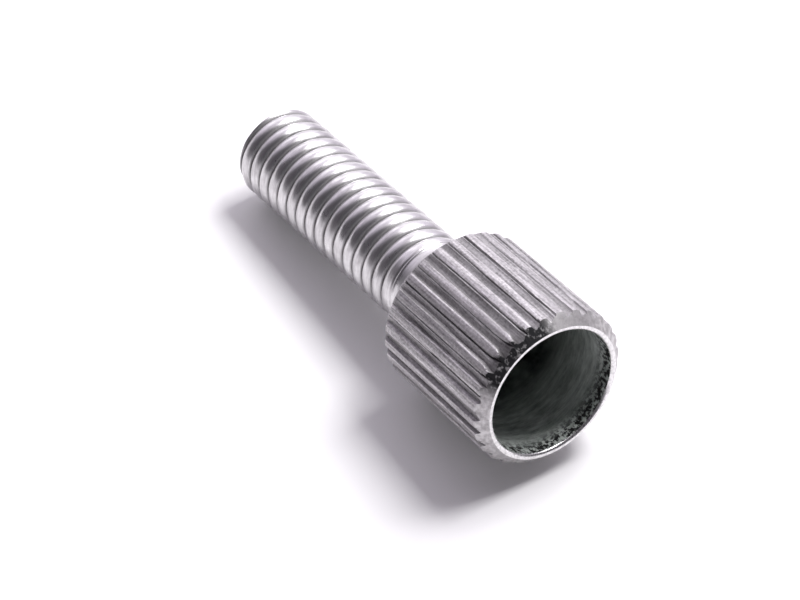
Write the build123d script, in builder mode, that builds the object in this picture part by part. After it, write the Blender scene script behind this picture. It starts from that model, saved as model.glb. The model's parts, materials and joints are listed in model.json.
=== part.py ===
"""Cable adjuster screw.

A one-piece turned screw that takes the slack out of a control cable. The cup-shaped, straight-knurled
head holds the end of the cable's housing in its socket. The hollow shank screws into the lever or the
stop, and the inner cable runs through it.

The screw lies the way it comes to rest: the lower edge of its tip and two ridges at the back of the
head touch z = 0, with the head toward +X. Sizes are in millimetres. Places along the screw are measured
from the tip's end face.
"""
import os
from math import atan2, cos, degrees, radians, sin, tan, tau

from build123d import *

# Socket for the end of the cable's housing
socket_diameter = 7.9
socket_depth = 7.0           # from the rim to the start of the drill point
socket_edge = 0.12           # broken edge at the rim
drill_point_angle = 118.0

# Head
head_wall = 0.95             # from the socket to the ridges of the knurl
head_length = 9.8
head_chamfer = 0.65          # 45 degrees, at both ends of the head

# Straight knurl of round-topped ridges
ridge_count = 28
brow_width = 0.28            # a ridge a little below its top line
brow_depth = 0.02
shoulder_width = 0.50        # a ridge at its shoulders
shoulder_depth = 0.07
groove_depth = 0.25
groove_floor = 0.20          # width of a groove's floor
knurl_allowance = 0.05       # how much the head is turned larger, and the knurl takes off again

# Shank, plain at the height of the thread's crests (M6 x 1, crests rounded)
shank_diameter = 5.75
shank_length = 18.6          # from the tip to the back of the head
tip_chamfer = 0.6
shank_fillet = 0.3           # where the shank meets the head

# Hole for the inner cable, through the shank
cable_hole_diameter = 2.6
cable_hole_edge = 0.15

# Worked out from the sizes above
socket_radius = socket_diameter / 2
head_radius = socket_radius + head_wall
shank_radius = shank_diameter / 2
hole_radius = cable_hole_diameter / 2
full_length = shank_length + head_length
socket_floor = full_length - socket_depth
drill_point_end = socket_floor - (socket_radius - hole_radius) / tan(radians(drill_point_angle / 2))

# A groove faces straight down, so the head rests on the ridge either side of it
ridge_pitch = tau * head_radius / ridge_count
resting_radius = head_radius * cos(ridge_pitch / 2 / head_radius)
resting_place = shank_length + head_chamfer

# The slope of the lying screw, and where its tip's centre comes to be
tilt = atan2(resting_radius - shank_radius, resting_place - tip_chamfer)
tip_height = shank_radius * cos(tilt) - tip_chamfer * sin(tilt)
reach_back = (shank_radius - tip_chamfer) * sin(tilt)
reach_front = full_length * cos(tilt) + (head_radius - head_chamfer) * sin(tilt)
tip_centre = Vector(-(reach_front - reach_back) / 2, 0, tip_height)

screw_direction = Vector(cos(tilt), 0, sin(tilt))
screw_axis = Axis(tip_centre, screw_direction)
lengthwise = Plane(origin=tip_centre, x_dir=screw_direction, z_dir=(0, -1, 0))
crosswise = Plane(origin=tip_centre, x_dir=(0, 1, 0), z_dir=screw_direction)


def groove_point(depth, width):
    """Corner of a groove: how deep it lies, and the groove's width there (negative: the other side)."""
    turn = width / 2 / head_radius
    return ((head_radius - depth) * cos(turn) - head_radius, (head_radius - depth) * sin(turn))


with BuildPart() as adjuster_screw:
    # Half of the lengthwise section, turned about the screw's axis
    with BuildSketch(lengthwise):
        with BuildLine():
            Polyline(
                (shank_length - shank_fillet, shank_radius),
                (tip_chamfer, shank_radius),
                (0, shank_radius - tip_chamfer),
                (0, hole_radius + cable_hole_edge),
                (cable_hole_edge, hole_radius),
                (drill_point_end, hole_radius),
                (socket_floor, socket_radius),
                (full_length - socket_edge, socket_radius),
                (full_length, socket_radius + socket_edge),
                (full_length, head_radius - head_chamfer),
                (full_length - head_chamfer - knurl_allowance, head_radius + knurl_allowance),
                (shank_length + head_chamfer + knurl_allowance, head_radius + knurl_allowance),
                (shank_length, head_radius - head_chamfer),
                (shank_length, shank_radius + shank_fillet),
            )
            RadiusArc(
                (shank_length, shank_radius + shank_fillet),
                (shank_length - shank_fillet, shank_radius),
                shank_fillet,
            )
        make_face()
    revolve(axis=screw_axis)

    # Straight knurl: one groove, repeated round the head and cut along its whole length
    with BuildSketch(crosswise.offset(shank_length - head_chamfer)):
        with PolarLocations(head_radius, ridge_count, start_angle=-90):
            Polygon(
                groove_point(-2 * knurl_allowance, ridge_pitch + knurl_allowance),
                groove_point(0, ridge_pitch),
                groove_point(brow_depth, ridge_pitch - brow_width),
                groove_point(shoulder_depth, ridge_pitch - shoulder_width),
                groove_point(groove_depth, groove_floor),
                groove_point(groove_depth, -groove_floor),
                groove_point(shoulder_depth, shoulder_width - ridge_pitch),
                groove_point(brow_depth, brow_width - ridge_pitch),
                groove_point(0, -ridge_pitch),
                groove_point(-2 * knurl_allowance, -ridge_pitch - knurl_allowance),
                align=None,
            )
    extrude(amount=head_length + 2 * head_chamfer, mode=Mode.SUBTRACT)

adjuster_screw.part.label = "adjuster_screw"

box = adjuster_screw.part.bounding_box()
print(f"tilt {degrees(tilt):.2f} deg, ridge pitch {ridge_pitch:.3f} mm")
print(f"x {box.min.X:.3f}..{box.max.X:.3f}, y {box.min.Y:.3f}..{box.max.Y:.3f}, z {box.min.Z:.3f}..{box.max.Z:.3f}")
print(f"volume {adjuster_screw.part.volume:.1f} mm3")

os.makedirs("parts", exist_ok=True)
export_step(adjuster_screw.part, "parts/adjuster_screw.step")
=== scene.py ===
# %% [markdown]
# # A cable adjuster screw
# This small screw takes the slack out of a control cable. The cup-shaped head holds the end of the
# cable's housing, the thread moves it in and out of a lever or stop, and the inner cable runs through
# the hollow shank. It is turned from one bar of steel, so it is one mesh here too. The mesh goes once
# round the whole section: out over the tip, along the thread, over the knurled head, in across the rim,
# down the socket and back through the cable hole. A closed walk like that leaves no stray faces.

# %% Start with the exact part
import json
from math import asin, cos, pi, radians, sin, sqrt, tan, tau

import bpy
import numpy as np
from mathutils import Matrix, Vector


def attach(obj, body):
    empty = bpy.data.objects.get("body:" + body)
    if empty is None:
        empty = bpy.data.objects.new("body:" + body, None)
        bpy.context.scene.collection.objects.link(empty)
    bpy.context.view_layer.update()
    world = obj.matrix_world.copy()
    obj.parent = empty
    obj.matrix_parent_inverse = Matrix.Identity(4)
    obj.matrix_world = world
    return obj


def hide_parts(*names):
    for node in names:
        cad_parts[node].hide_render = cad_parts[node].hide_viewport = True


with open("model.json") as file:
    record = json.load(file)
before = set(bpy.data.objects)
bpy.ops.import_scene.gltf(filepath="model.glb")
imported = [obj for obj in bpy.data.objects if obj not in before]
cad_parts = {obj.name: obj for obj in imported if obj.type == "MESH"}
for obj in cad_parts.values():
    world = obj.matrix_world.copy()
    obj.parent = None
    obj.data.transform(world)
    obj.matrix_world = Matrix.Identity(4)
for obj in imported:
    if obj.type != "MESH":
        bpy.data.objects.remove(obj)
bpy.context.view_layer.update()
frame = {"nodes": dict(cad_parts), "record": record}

# %% [markdown]
# The exact part lies on the floor with its head a little higher than its tip. Everything on a turned
# part is simplest when it is measured along the turning axis, so the mesh is made in the screw's own
# directions: x from the tip to the head, z up from the axis, and y to the side. The axis comes from the
# thread's mount and the ends come from the part itself, so both models stay together.

# %% The screw's own axis and length
mounts = {m["name"]: m for m in frame["record"]["mounts"]}
axis = -Vector(mounts["thread"]["axis"]).normalized()
on_axis = Vector(mounts["thread"]["pos_m"])

exact = frame["nodes"]["adjuster_screw"]
corners = [v.co - on_axis for v in exact.data.vertices]
places = [c.dot(axis) for c in corners]
tip = on_axis + axis * min(places)
full_length = 1000 * (max(places) - min(places))
head_radius = 1000 * max((c - axis * p).length for c, p in zip(corners, places))
thread_radius = mounts["thread"]["dims"]["r_mm"]
socket_radius = mounts["housing_socket"]["dims"]["r_mm"]
hole_radius = mounts["cable_hole"]["dims"]["r_mm"]

side = Vector((0, 1, 0))
up = axis.cross(side).normalized()
if up.z < 0:
    up = -up
own_directions = Matrix((axis, side, up)).transposed().to_4x4()
own_directions.translation = tip
print(f"{full_length:.2f} mm long, head {2 * head_radius:.2f} mm, thread {2 * thread_radius:.2f} mm")

# %% [markdown]
# ## A mesh made of rings
# Every surface here goes right round the axis, so rings of points are the natural building block: each
# ring gives a place along the axis and a radius for every direction, and a band of faces joins it to the
# next one. The knurl needs many more points than the rest, so a band may also join a fine ring to a
# coarse one with a fan of triangles. That is done only on flat faces, where it can't be seen.

# %% Rings and bands
COARSE = 112                # points round the thread, the socket and the hole
FINE = 672                  # points round the knurl, 24 to a ridge
around = {n: np.arange(n) * tau / n for n in (COARSE, FINE)}
points, crease_shade, faces, face_finish = [], [], [], []


def ring(place, radius, n=COARSE, shaded=0.0):
    """Add one ring of points (mm), with painted shade from 0 to 1, and return their numbers."""
    place, radius = np.broadcast_to(place, n), np.broadcast_to(radius, n)
    first = sum(len(p) for p in points)
    points.append(np.stack([place, radius * np.sin(around[n]), radius * np.cos(around[n])], axis=1))
    crease_shade.append(np.broadcast_to(shaded, n))
    return np.arange(first, first + n)


def band(first, second, finish):
    """Join two rings with faces that look outward."""
    a, b = (list(r) + [r[0]] for r in (first, second))
    made = []
    if len(a) == len(b):
        made = [(a[i], b[i], b[i + 1], a[i + 1]) for i in range(len(a) - 1)]
    else:
        swap = len(a) > len(b)
        few, many = (b, a) if swap else (a, b)
        step = (len(many) - 1) // (len(few) - 1)
        for j in range(len(few) - 1):
            start, middle, end = step * j, step * j + step // 2, step * (j + 1)
            fan = [(few[j], many[i], many[i + 1]) for i in range(start, middle)]
            fan += [(few[j], many[middle], few[j + 1])]
            fan += [(few[j + 1], many[i], many[i + 1]) for i in range(middle, end)]
            made += [t[::-1] for t in fan] if swap else fan
    faces.extend(made)
    face_finish.extend([finish] * len(made))


def bands(rings, finish):
    """Join a whole row of rings, one after the other."""
    for first, second in zip(rings, rings[1:]):
        band(first, second, finish)
    return rings[-1]


# %% [markdown]
# No cutter leaves a perfectly even surface. A few slow waves with chosen directions, added together,
# give a soft unevenness that closes neatly round the screw and is the same every time the script runs.

# %% Soft unevenness
def uneven(angle, place, seed, turns, waves_per_mm, count=20):
    """Smooth ups and downs of about -1 to 1, closed round the axis."""
    dice = np.random.default_rng(seed)
    total = 0.0
    for _ in range(count):
        spins = dice.integers(-turns, turns + 1)
        total = total + np.cos(spins * angle + tau * dice.uniform(-1, 1) * waves_per_mm * place
                               + dice.uniform(0, tau))
    return total / sqrt(count / 2) / 2


def step_up(value, start, end):
    """0 below start, 1 above end, and a smooth rise between them."""
    t = np.clip((value - start) / (end - start), 0, 1)
    return t * t * (3 - 2 * t)


def lower_of(a, b, blend):
    """The lower of two surfaces, with the edge between them rounded a little."""
    t = np.clip(0.5 + 0.5 * (b - a) / blend, 0, 1)
    return b + (a - b) * t - blend * t * (1 - t)


# %% [markdown]
# ## Thread
# The thread is M6 with a 1 mm pitch. It was rolled, and its crests are wide and round with narrow roots
# between them. So its section is drawn with two arcs that meet smoothly, a large one for the crest and
# a small one for the root, instead of the sharp triangles of a textbook thread. The groove's place
# moves one pitch for each turn. It starts over the tip's chamfer, and fades out in the last turn before
# a plain neck.

# %% The thread's section
PITCH = 1.0
RIGHT_HANDED = True
crest_arc = 0.60
root_arc = 0.05
meeting_angle = asin(PITCH / 2 / (crest_arc + root_arc))
groove_depth = (crest_arc + root_arc) * (1 - cos(meeting_angle))
meeting_place = crest_arc * sin(meeting_angle)


def below_crest(offset):
    """How deep the thread's surface lies, for a distance along the axis from a crest."""
    off = np.abs(offset)
    on_crest = crest_arc - np.sqrt(np.maximum(crest_arc ** 2 - np.minimum(off, meeting_place) ** 2, 0))
    from_root = PITCH / 2 - off
    in_root = groove_depth - (root_arc - np.sqrt(np.maximum(root_arc ** 2 - from_root ** 2, 0)))
    return np.where(off < meeting_place, on_crest, in_root)


print(f"the thread's grooves are {groove_depth:.2f} mm deep")

# %% [markdown]
# The shank is one surface from the tip to the head: the thread, the chamfer that starts it, and the
# neck left bare beside the head. The lower of two surfaces wins where they cross, as it does on a lathe.

# %% Shank, from the tip to the fillet
shank_length = 18.6
tip_chamfer = 0.6
hole_edge = 0.15             # broken edge of the cable hole
wear_depth = 0.012
neck_length = 1.85
neck_radius = thread_radius - 0.07
neck_fillet = 0.3
crest_phase = 0.30           # place of the crest at the top of the screw, in pitches
seam_radius = 3.6            # on the back of the head, where the coarse rings meet the fine ones


def shank_surface(place, angle):
    hand = 1 if RIGHT_HANDED else -1
    turn = place / PITCH - hand * angle / tau - crest_phase
    offset = (turn - np.round(turn)) * PITCH
    groove_place = place + np.sign(offset) * PITCH / 2 - offset
    fade = 1 - step_up(groove_place, shank_length - neck_length - 0.85, shank_length - neck_length - 0.1)
    wear = wear_depth * uneven(angle, place, 3, 9, 1.2)
    radius = thread_radius - wear_depth - below_crest(offset) * fade + wear * (0.4 + fade)
    in_neck = step_up(place, shank_length - neck_length - 0.03, shank_length - neck_length + 0.05)
    radius = radius * (1 - in_neck) + neck_radius * in_neck
    radius = radius - 0.05 * np.exp(-((place - shank_length + neck_length + 0.13) / 0.05) ** 2)
    chamfer = thread_radius - tip_chamfer + place + 0.015 * uneven(angle, place, 5, 12, 0.5)
    return lower_of(radius, chamfer, 0.06)


angle = around[COARSE]
start = ring(0, hole_radius + hole_edge)
tip_face = [start] + [ring(0, r) for r in (1.75, 2.05, thread_radius - tip_chamfer - 0.03)]
last = bands(tip_face, "tip")
neck_start = shank_length - neck_length
thread_places = np.concatenate([np.arange(0.03, neck_start + 0.15, 0.05),
                                np.linspace(neck_start + 0.2, shank_length - neck_fillet, 12)])
thread_rings = [last] + [ring(p, shank_surface(p, angle)) for p in thread_places]
last = bands(thread_rings, "thread")
fillet = [last]
for t in radians(22.5), radians(45), radians(67.5), radians(90):
    fillet.append(ring(shank_length - neck_fillet * (1 - sin(t)), neck_radius + neck_fillet * (1 - cos(t))))
fillet.append(ring(shank_length, seam_radius))
last = bands(fillet, "turned")
print(len(thread_rings), "rings along the shank")

# %% [markdown]
# ## Knurl
# The head's grip is a straight knurl of 28 ridges, pressed in by a toothed wheel. The wheel leant a
# little, so the grooves are not even: a flat, scratched ridge drops steeply on one side, and from there
# one long smooth slope rises to the torn edge of the next ridge. Pressing metal is untidy, so each ridge
# gets its own width and height, wavers along its length, and narrows to a finger where the wheel left
# the bar. The 45 degree chamfers at both ends are then cut through all of it: the mesh finds the place
# where each line of the knurl meets the chamfer, so that edge stays crisp.

# %% One ridge and its groove
RIDGES = 28
head_length = full_length - shank_length
chamfer = 0.65
wall_width = 0.09            # the steep side of a ridge
knurl_phase = 0.25           # where the first ridge starts, in ridges from the top
burr_middle, burr_half_width = -33, 29      # the ragged side of the rim, in degrees from the top
knurl_pitch = tau * head_radius / RIDGES
dice = np.random.default_rng(11)
ridge_width = 0.52 * (1 + 0.16 * dice.uniform(-1, 1, RIDGES))
ridge_drop = 0.03 * dice.uniform(0, 1, RIDGES)
groove_low = 0.24 + 0.05 * dice.uniform(0, 1, RIDGES)
tear_depth = 0.05 + 0.12 * dice.uniform(0, 1, RIDGES)


def burred_side(angle):
    """1 where the rim's chamfer is ragged and dirty, 0 on its clean side."""
    wrapped = (angle + pi) % tau - pi
    return np.exp(-((np.degrees(wrapped) - burr_middle) / burr_half_width) ** 4)


def knurl_surface(place, angle):
    to_front = step_up(place, full_length - 1.6, full_length - 0.5) * burred_side(angle)
    to_back = 1 - step_up(place, shank_length + 0.2, shank_length + 0.9)
    narrow = np.sqrt(np.clip(1 - 0.9 * to_front ** 2 - 0.4 * to_back ** 2, 0, 1))
    sway = 0.03 * uneven(angle, place, 17, 26, 0.09, 26) - 0.25 * (1 - narrow)
    turn = angle / tau * RIDGES + knurl_phase + sway / knurl_pitch
    number = np.floor(turn).astype(int) % RIDGES
    across = (turn - np.floor(turn)) * knurl_pitch
    width = ridge_width[number] * narrow
    top = head_radius - ridge_drop[number] - 0.03 * (2 * across / np.maximum(width, 0.05) - 1) ** 2
    low = head_radius - groove_low[number]
    wall = np.clip((across - width) / wall_width, 0, 1)
    along_slope = np.clip((across - width - wall_width) / (knurl_pitch - width - wall_width), 0, 1)
    slope_end = head_radius - 0.06 - 0.12 * to_front
    slope = low + (slope_end - low) * along_slope ** 1.5
    tear = tear_depth[number] * np.exp(-((along_slope - 0.93) / 0.06) ** 2)
    lip = 0.025 * np.exp(-((along_slope - 0.74) / 0.07) ** 2)
    groove = slope - tear * (1 + 0.5 * uneven(angle, place, 19, 40, 0.3)) + lip
    surface = np.where(across < width, top, top * (1 - wall) + low * wall)
    surface = np.where(across > width + wall_width, groove, surface)
    scratches = uneven(angle, place, 23, 330, 0.12, 40) * np.where(across < width, 0.007, 0.002)
    surface = surface + scratches + 0.004 * uneven(angle, place, 29, 90, 2, 30)
    # Painted shade: torn folds, ridge feet and the grooves by the ragged rim are marked here for darkening.
    torn = np.exp(-((along_slope - 0.93) / 0.07) ** 2) * (across > width) * (0.45 + 4 * tear_depth[number])
    foot = np.exp(-((across - width - wall_width) / 0.05) ** 2)
    return surface, np.clip(torn + 0.5 * foot + 0.8 * to_front * (across > width), 0, 1)


# %% [markdown]
# The head is walked from its back to its rim. The chamfers meet the knurl at a different place for each
# ridge, so those places are found first by going back and forth a few times between the two surfaces.

# %% Head, from its back to the start of the rim
angle = around[FINE]
blank = head_radius - chamfer
meets_back, meets_front = shank_length + chamfer, full_length - chamfer
ragged = 0.035 * burred_side(angle) * uneven(angle, 0, 41, 190, 0, 40)
for _ in range(8):
    meets_back = shank_length + knurl_surface(meets_back, angle)[0] - blank
    meets_front = full_length - (knurl_surface(meets_front, angle)[0] - blank - ragged)

edge_of_back = ring(shank_length, blank, FINE)
band(last, edge_of_back, "turned")
rings = [edge_of_back]
for t in (0.3, 0.6, 0.85):
    p = shank_length + (meets_back - shank_length) * t
    rings.append(ring(p, blank + (p - shank_length), FINE))
steps = np.concatenate([np.linspace(0, 0.09, 10), np.linspace(0.1, 0.86, 24), np.linspace(0.875, 1, 15)])
for t in steps:
    p = meets_back + (meets_front - meets_back) * t
    radius, shaded = knurl_surface(p, angle)
    radius = lower_of(radius, blank + (p - shank_length), 0.02)
    radius = lower_of(radius, blank + ragged + (full_length - p), 0.02)
    rings.append(ring(p, radius, FINE, shaded))
last = bands(rings, "knurl")
rings = [last]
for t in (0.12, 0.28, 0.46, 0.66, 0.84, 1):
    p = meets_front + (full_length - meets_front) * t
    radius = blank + (full_length - p) + ragged * (1 - t)
    rings.append(ring(p, radius, FINE))
last = bands(rings, "chamfer")
print(f"{RIDGES} ridges, one every {knurl_pitch:.2f} mm, over {head_length:.2f} mm")

# %% [markdown]
# ## Rim, socket and cable hole
# The rim was faced on the lathe after knurling, and its inner edge was broken by a touch of the tool.
# The socket behind it was drilled, which leaves a cone at the bottom, and a smaller drill made the hole
# for the inner cable. Inside, only the long walls show, so they get gentle tool waves and no more.

# %% Inside of the screw
angle = around[COARSE]
socket_depth, socket_edge = 7.0, 0.12
drill_point = radians(118)
socket_floor = full_length - socket_depth
cone_end = socket_floor - (socket_radius - hole_radius) / tan(drill_point / 2)
inner_edge = socket_radius + socket_edge
dents = 0.012 * uneven(angle, 0, 51, 26, 0, 30)
rings = [last, ring(full_length - 0.003, blank - 0.035), ring(full_length, blank - 0.06),
         ring(full_length, inner_edge + 0.03 + dents), ring(full_length - 0.012, inner_edge + dents),
         ring(full_length - 0.06, socket_radius + 0.055 + dents),
         ring(full_length - socket_edge, socket_radius + 0.01)]
last = bands(rings, "rim")
rings = [last]
for p in np.linspace(full_length - socket_edge - 0.08, socket_floor + 0.1, 40):
    rings.append(ring(p, socket_radius + 0.006 * uneven(angle, p, 61, 5, 0.8)))
rings.append(ring(socket_floor, socket_radius - 0.02))
for t in (0.02, 0.2, 0.4, 0.6, 0.8, 1):
    rings.append(ring(socket_floor + (cone_end - socket_floor) * t,
                      socket_radius + (hole_radius - socket_radius) * t))
last = bands(rings, "socket")
rings = [last] + [ring(p, hole_radius) for p in np.linspace(cone_end - 0.1, hole_edge, 24)]
last = bands(rings, "hole")
band(last, start, "hole")
print(len(faces), "faces in all")

# %% [markdown]
# Now the rings become one Blender mesh, and its points are turned and shifted from the screw's own
# directions to the floor's. Smooth shading is kept everywhere except over real edges.

# %% The mesh itself
finish_names = ["thread", "turned", "knurl", "chamfer", "rim", "socket", "hole", "tip"]
real_edge = radians(38)
mesh = bpy.data.meshes.new("adjuster_screw_detail")
mesh.from_pydata((np.concatenate(points) / 1000).tolist(), [], [tuple(int(i) for i in f) for f in faces])
mesh.transform(own_directions)
screw = bpy.data.objects.new("adjuster_screw_detail", mesh)
bpy.context.scene.collection.objects.link(screw)
mesh.polygons.foreach_set("material_index", [finish_names.index(f) for f in face_finish])
# This attribute carries the knurl's painted shade in its creases.
mesh.attributes.new("crease_shade", "FLOAT", "POINT").data.foreach_set("value", np.concatenate(crease_shade))
mesh.shade_smooth()
mesh.set_sharp_from_angle(angle=real_edge)
mesh.update()
print("every edge joins two faces:", len(mesh.loops) == 2 * len(mesh.edges))

# %% [markdown]
# ## Steel finishes
# The whole screw is one bright plated steel, but each tool left its own marks. One recipe covers them
# all: a metal whose brightness, roughness and tiny relief follow noise that is stretched along or round
# the axis, with painted shade where the surface lies low. The recipe's small helpers come first.

# %% Helpers for materials
def add(tree, kind, values=None, **settings):
    node = tree.nodes.new(kind)
    for name, value in settings.items():
        setattr(node, name, value)
    for name, value in (values or {}).items():
        socket = node.inputs[name]
        if isinstance(value, bpy.types.NodeSocket):
            tree.links.new(value, socket)
        else:
            socket.default_value = value
    return node


def math(tree, operation, a, b=0.0, clamp=False):
    return add(tree, "ShaderNodeMath", {0: a, 1: b}, operation=operation, use_clamp=clamp).outputs[0]


def between(tree, value, low, high, to_low=0.0, to_high=1.0):
    """Turn a range of values into another one, and keep it inside."""
    return add(tree, "ShaderNodeMapRange", {"Value": value, "From Min": low, "From Max": high,
                                            "To Min": to_low, "To Max": to_high}).outputs["Result"]


def mix_colours(tree, amount, first, second):
    node = add(tree, "ShaderNodeMix", {"Factor": amount}, data_type="RGBA")
    for socket, value in ((node.inputs[6], first), (node.inputs[7], second)):
        if isinstance(value, bpy.types.NodeSocket):
            tree.links.new(value, socket)
        else:
            socket.default_value = (*value, 1)
    return node.outputs[2]


def own_coordinates(tree):
    """Turn the floor's directions back into the screw's own, along its axis and across it."""
    where = add(tree, "ShaderNodeTexCoord").outputs["Object"]
    turned_back = add(tree, "ShaderNodeMapping", vector_type="TEXTURE", values={
        "Vector": where, "Location": tip, "Rotation": own_directions.to_euler()})
    return turned_back.outputs[0]


def marks(tree, along, across, detail=3.0, roughness=0.6, shift=0.0):
    """Noise in waves per millimetre: along the axis, and across it."""
    placed = add(tree, "ShaderNodeMapping", {
        "Vector": own_coordinates(tree), "Location": (shift, shift, shift),
        "Scale": (1000 * along, 1000 * across, 1000 * across)})
    return add(tree, "ShaderNodeTexNoise", {"Vector": placed.outputs[0], "Scale": 1.0, "Detail": detail,
                                            "Roughness": roughness}).outputs["Fac"]


def own_place(tree):
    """Place along the axis (mm), radius (mm) and direction round it (degrees, 0 is up)."""
    parts = add(tree, "ShaderNodeSeparateXYZ", {0: own_coordinates(tree)})
    place = math(tree, "MULTIPLY", parts.outputs[0], 1000)
    radius = math(tree, "SQRT", math(tree, "ADD", math(tree, "MULTIPLY", parts.outputs[1], parts.outputs[1]),
                                     math(tree, "MULTIPLY", parts.outputs[2], parts.outputs[2])))
    direction = math(tree, "ARCTAN2", parts.outputs[1], parts.outputs[2])
    return place, math(tree, "MULTIPLY", radius, 1000), math(tree, "MULTIPLY", direction, 180 / pi)


def steel(name, colour, dark, roughness, relief, height, shade, dirt_and_shade=None, dirt_and_shade_colour=(0.02, 0.02, 0.02)):
    """Finish the recipe: shade runs from dark to colour, height drives the relief, dirt and painted shade
    darken and dull it.
    """
    material = screw.data.materials[finish_names.index(name)]
    tree = material.node_tree
    surface = next(n for n in tree.nodes if n.type == "BSDF_PRINCIPLED")
    tint = mix_colours(tree, shade, dark, colour)
    rough = between(tree, shade, 0, 1, roughness[1], roughness[0])
    if dirt_and_shade is not None:
        tint = mix_colours(tree, dirt_and_shade, tint, dirt_and_shade_colour)
        rough = between(tree, dirt_and_shade, 0, 1, rough, 0.7)
        tree.links.new(between(tree, dirt_and_shade, 0, 1, 1.0, 0.35), surface.inputs["Metallic"])
    else:
        surface.inputs["Metallic"].default_value = 1.0
    tree.links.new(tint, surface.inputs["Base Color"])
    tree.links.new(rough, surface.inputs["Roughness"])
    bump = add(tree, "ShaderNodeBump", {"Height": height, "Strength": relief, "Distance": 0.00002})
    tree.links.new(bump.outputs[0], surface.inputs["Normal"])
    return material


trees = {}
for name in finish_names:
    material = bpy.data.materials.new("steel_" + name)
    material.use_nodes = True
    screw.data.materials.append(material)
    trees[name] = material.node_tree

# %% [markdown]
# Rolled threads are the smoothest part: the dies press the crests bright, and painted shade darkens the
# narrow roots. The radius tells the two apart, so one ramp on it darkens only the roots.

# %% Thread, neck and tip
for name in ("thread", "turned", "tip"):
    tree = trees[name]
    place, radius, _ = own_place(tree)
    fine = marks(tree, 14, 1.2)
    cloudy = marks(tree, 1.1, 1.1, shift=4)
    shade = between(tree, math(tree, "ADD", math(tree, "MULTIPLY", fine, 0.5),
                               math(tree, "MULTIPLY", cloudy, 0.5)), 0.3, 0.62)
    # Painted shade: the thread's roots are darkened by their low radius.
    low_shade = between(tree, radius, 2.74, 2.65)
    dirt_and_shade = math(tree, "MULTIPLY", low_shade, between(tree, cloudy, 0.3, 0.7, 0.6, 0.9))
    # Painted shade: the neck grows darker towards the head.
    shade_by_head = between(tree, place, shank_length - neck_length + 0.2, shank_length - 0.5, 0, 0.6)
    dirt_and_shade = math(tree, "MAXIMUM", dirt_and_shade, shade_by_head)
    if name == "tip":
        dirt_and_shade = between(tree, cloudy, 0.4, 0.7, 0.2, 0.6)
    steel(name, (0.74, 0.73, 0.735), (0.46, 0.445, 0.45), (0.27, 0.38), 0.3, fine, shade, dirt_and_shade,
          (0.05, 0.047, 0.05))

# %% [markdown]
# The knurl's ridges are dull from handling, with fine lines along them where the wheel slid. Painted
# shade darkens the torn folds, the foot of each ridge and the grooves by the ragged rim: the mesh marked
# those points as it was made. The chamfer is the same skin, but on one side it tore into small black burrs.

# %% Knurl and chamfer
tree = trees["knurl"]
_, radius, _ = own_place(tree)
lines = marks(tree, 0.35, 8, detail=5)
specks = marks(tree, 7, 7, detail=2, shift=9)
cloudy = marks(tree, 0.5, 0.9, shift=2)
shade = between(tree, math(tree, "ADD", math(tree, "MULTIPLY", lines, 0.6),
                           math(tree, "MULTIPLY", specks, 0.4)), 0.34, 0.64)
# Painted shade: the low parts of the knurl's grooves are darkened by their radius.
low_shade = between(tree, radius, 4.87, 4.74)
# The mesh's marks carry painted shade in the torn folds, at the ridge feet and in the grooves by the ragged
# rim.
crease_shade_marks = add(tree, "ShaderNodeAttribute", attribute_name="crease_shade").outputs["Fac"]
dirt_and_shade = math(tree, "MULTIPLY", low_shade, between(tree, cloudy, 0.3, 0.7, 0.1, 0.45))
dirt_and_shade = math(tree, "MAXIMUM", dirt_and_shade, math(tree, "MULTIPLY", crease_shade_marks, between(tree, cloudy, 0.3, 0.6, 0.7, 1)))
steel("knurl", (0.68, 0.66, 0.67), (0.24, 0.228, 0.236), (0.46, 0.6), 0.9,
      math(tree, "ADD", lines, math(tree, "MULTIPLY", specks, 0.5)), shade, dirt_and_shade, (0.035, 0.032, 0.035))

tree = trees["chamfer"]
_, _, direction = own_place(tree)
specks = marks(tree, 3.2, 3.2, detail=5, shift=5)
sector = math(tree, "MULTIPLY", between(tree, direction, -66, -56), between(tree, direction, 8, -4))
burr = math(tree, "MULTIPLY", sector, between(tree, specks, 0.70, 0.52))
shade = between(tree, specks, 0.35, 0.6)
steel("chamfer", (0.60, 0.585, 0.59), (0.40, 0.385, 0.39), (0.45, 0.6), 0.7, specks, shade, burr,
      (0.012, 0.012, 0.014))

# %% [markdown]
# The faced rim is the brightest ring of all. The socket was drilled and never plated well, so it is
# grey-green and streaked round by the drill, with black smudges near its mouth and painted shade deeper in.

# %% Rim, socket and hole
tree = trees["rim"]
specks = marks(tree, 5, 5, detail=3, shift=7)
shade = between(tree, specks, 0.3, 0.6)
steel("rim", (0.85, 0.84, 0.84), (0.6, 0.59, 0.59), (0.25, 0.4), 0.3, specks, shade)

tree = trees["socket"]
place, _, _ = own_place(tree)
streaks = marks(tree, 2.0, 0.40, detail=6, roughness=0.75)
cloudy = marks(tree, 0.35, 0.35, detail=4, shift=3)
specks = marks(tree, 4, 4, detail=3, shift=8)
shade = between(tree, math(tree, "ADD", math(tree, "MULTIPLY", streaks, 0.7),
                           math(tree, "MULTIPLY", cloudy, 0.3)), 0.36, 0.64)
# Painted shade: the socket grows darker deeper in.
shade = math(tree, "MULTIPLY", shade, between(tree, place, full_length - 6.0, full_length - 2.5, 0.25, 1))
lip = math(tree, "MULTIPLY", between(tree, place, full_length - 1.5, full_length - 0.6),
           between(tree, specks, 0.44, 0.54))
# Painted shade: black patches far down the socket.
deep_shade = math(tree, "MULTIPLY", between(tree, place, full_length - 4.0, full_length - 5.5),
            between(tree, cloudy, 0.35, 0.55))
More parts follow.
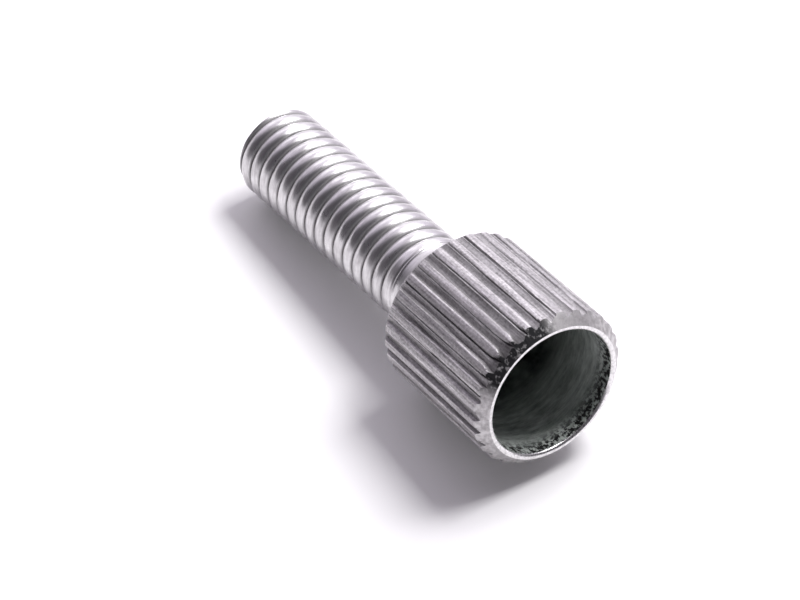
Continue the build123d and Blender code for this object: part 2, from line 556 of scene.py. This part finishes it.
# The black smudges near the mouth and the painted shade far down go in as one mask.
lip = math(tree, "MAXIMUM", lip, deep_shade)
steel("socket", (0.88, 0.93, 0.89), (0.20, 0.23, 0.21), (0.42, 0.6), 0.5, streaks, shade, lip,
      (0.01, 0.01, 0.01))
surface = next(n for n in tree.nodes if n.type == "BSDF_PRINCIPLED")
tree.links.remove(surface.inputs["Metallic"].links[0])
surface.inputs["Metallic"].default_value = 0.4

tree = trees["hole"]
streaks = marks(tree, 3, 0.5, detail=4)
shade = between(tree, streaks, 0.35, 0.65)
steel("hole", (0.3, 0.31, 0.3), (0.08, 0.085, 0.08), (0.4, 0.55), 0.4, streaks, shade)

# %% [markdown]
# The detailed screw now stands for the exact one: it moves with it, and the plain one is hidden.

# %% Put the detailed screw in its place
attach(screw, "root")
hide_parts("adjuster_screw")

# %% [markdown]
# ## Floor and light
# Small bright metal parts are shown on a white card. The card is a little brighter wherever it is seen,
# by eye or in the metal, which leaves the shadow in place.

# %% White card
bpy.ops.mesh.primitive_plane_add(size=3, location=(0, 0, 0))
card = bpy.context.object
card.name = "card"
paper = bpy.data.materials.new("white_card")
paper.use_nodes = True
card.data.materials.append(paper)
tree = paper.node_tree
surface = next(n for n in tree.nodes if n.type == "BSDF_PRINCIPLED")
surface.inputs["Base Color"].default_value = (0.90, 0.89, 0.90, 1)
surface.inputs["Roughness"].default_value = 0.9
surface.inputs["Specular IOR Level"].default_value = 0.1
path = add(tree, "ShaderNodeLightPath").outputs
seen = math(tree, "ADD", math(tree, "ADD", path["Is Camera Ray"], path["Is Glossy Ray"]),
            path["Is Transmission Ray"], clamp=True)
lift = add(tree, "ShaderNodeEmission", {"Color": (1, 1, 1, 1), "Strength": math(tree, "MULTIPLY", seen, 0.06)})
both = add(tree, "ShaderNodeAddShader", {0: surface.outputs[0], 1: lift.outputs[0]})
output = next(n for n in tree.nodes if n.type == "OUTPUT_MATERIAL")
tree.links.new(both.outputs[0], output.inputs["Surface"])

# %% [markdown]
# What a metal shows is mostly its surroundings, so the room matters as much as the lamps. It is bright
# above and behind the screw and dim on the viewer's side, which gives the thread its dark bands.

# %% Room
world = bpy.data.worlds.new("studio")
bpy.context.scene.world = world
world.use_nodes = True
tree = world.node_tree
background = next(n for n in tree.nodes if n.type == "BACKGROUND")
bright_side = Vector((-0.66, 0.48, 0.52)).normalized()
looking = add(tree, "ShaderNodeTexCoord").outputs["Generated"]
toward = add(tree, "ShaderNodeVectorMath", {0: looking, 1: bright_side}, operation="DOT_PRODUCT")
level = between(tree, toward.outputs["Value"], 0.35, 0.72, 0.09, 0.95)
tree.links.new(level, background.inputs["Strength"])
background.inputs["Color"].default_value = (0.94, 0.87, 1.0, 1)

# %% [markdown]
# A large soft lamp hangs above, to the right and a little behind, so the shadow falls softly to the
# left. A weak one behind the tip brightens the upper side of the thread.

# %% Lamps
def softbox(name, position, aim, size, watts, colour=(1, 1, 1)):
    lamp = bpy.data.lights.new(name, "AREA")
    lamp.shape = "RECTANGLE"
    lamp.size, lamp.size_y = size
    lamp.energy = watts
    lamp.color = colour
    holder = bpy.data.objects.new(name, lamp)
    bpy.context.scene.collection.objects.link(holder)
    holder.location = position
    holder.rotation_euler = (Vector(aim) - Vector(position)).to_track_quat("-Z", "Y").to_euler()
    return holder


softbox("key", (0.0, 0.17, 0.32), (0, 0, 0), (0.15, 0.15), 1.30)
softbox("behind", (-0.28, 0.14, 0.18), (0, 0, 0), (0.30, 0.24), 0.20)
print("two soft lamps and a dim room")

# %% [markdown]
# ## Camera
# The camera looks down on the screw from beyond its head, so that the socket, the knurl and the thread
# all show. A long lens from a hand's breadth away keeps the near head and the far tip in natural
# proportion. It is placed from a point on the screw's own axis, so it follows the part.

# %% Camera
azimuth, elevation, distance = radians(55.807), radians(44.624), 0.18204
backward = Vector((sin(azimuth) * cos(elevation), -cos(azimuth) * cos(elevation), sin(elevation)))
right = Vector((cos(azimuth), sin(azimuth), 0))
above = backward.cross(right)
target = tip + axis * 0.015652 - right * 0.001203 - above * 0.001339
camera = bpy.data.objects.new("camera", bpy.data.cameras.new("camera"))
bpy.context.scene.collection.objects.link(camera)
camera.matrix_world = Matrix((right, above, backward)).transposed().to_4x4()
camera.location = target + backward * distance
camera.data.lens, camera.data.sensor_width = 144.035, 36
camera.data.clip_start, camera.data.clip_end = 0.005, 10
bpy.context.scene.camera = camera
bpy.context.scene.view_settings.view_transform = "Standard"
